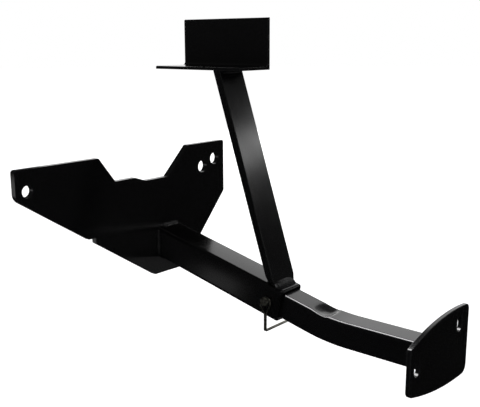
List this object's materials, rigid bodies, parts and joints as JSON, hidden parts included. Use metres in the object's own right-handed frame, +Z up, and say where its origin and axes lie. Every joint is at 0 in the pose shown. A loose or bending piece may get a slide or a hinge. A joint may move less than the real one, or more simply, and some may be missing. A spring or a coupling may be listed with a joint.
{
  "type": "frame-mounted tie-down bracket",
  "caption": "Frame plate with a sloping receiver tube, leaning post with an angle saddle, and a bent insert tube with a slotted end plate, locked by a wire-lock pin.",
  "frame": {"origin": "on the frame plate's mounting face, where the receiver's centre line meets the plate's outer side, at the same height", "axes": "+X outboard from the vehicle frame, +Y along the vehicle frame towards the short ear, +Z up"},
  "size_m": [0.5015, 0.4255, 0.4816],
  "materials": {
    "powder_coat": "gloss black powder coat on steel",
    "plated_steel": "dark oiled zinc plate on a steel pin",
    "plated_wire": "dark oiled zinc plate on spring steel wire"
  },
  "bodies": {
    "frame": {"frame_plate": "powder_coat", "receiver_tube": "powder_coat", "support_post": "powder_coat", "support_saddle": "powder_coat", "receiver_weld_top": "powder_coat", "receiver_weld_bottom": "powder_coat", "receiver_weld_front": "powder_coat", "receiver_weld_rear": "powder_coat", "post_foot_weld_outboard": "powder_coat", "post_foot_weld_inboard": "powder_coat", "saddle_weld_outboard": "powder_coat", "saddle_weld_inboard": "powder_coat"},
    "insert": {"insert_tube": "powder_coat", "end_plate": "powder_coat", "end_plate_weld_top": "powder_coat", "end_plate_weld_bottom": "powder_coat", "end_plate_weld_front": "powder_coat", "end_plate_weld_rear": "powder_coat"},
    "pin": {"lock_pin": "plated_steel"},
    "bail": {"wire_bail": "plated_wire"}
  },
  "joints": [
    {"name": "insert_play", "type": "slide", "parent": "frame", "child": "insert", "axis": [0.9763, 0, -0.2164], "range_m": [-0.0005, 0.0005]},
    {"name": "pin_slide", "type": "slide", "parent": "frame", "child": "pin", "axis": [0, -1, 0], "range_m": [0, 0.01]},
    {"name": "bail_hinge", "type": "hinge", "parent": "pin", "child": "bail", "pos_m": [0.237, -0.02905, -0.05043], "axis": [-0.8192, 0, -0.5736], "range_deg": [0, 100]}
  ]
}
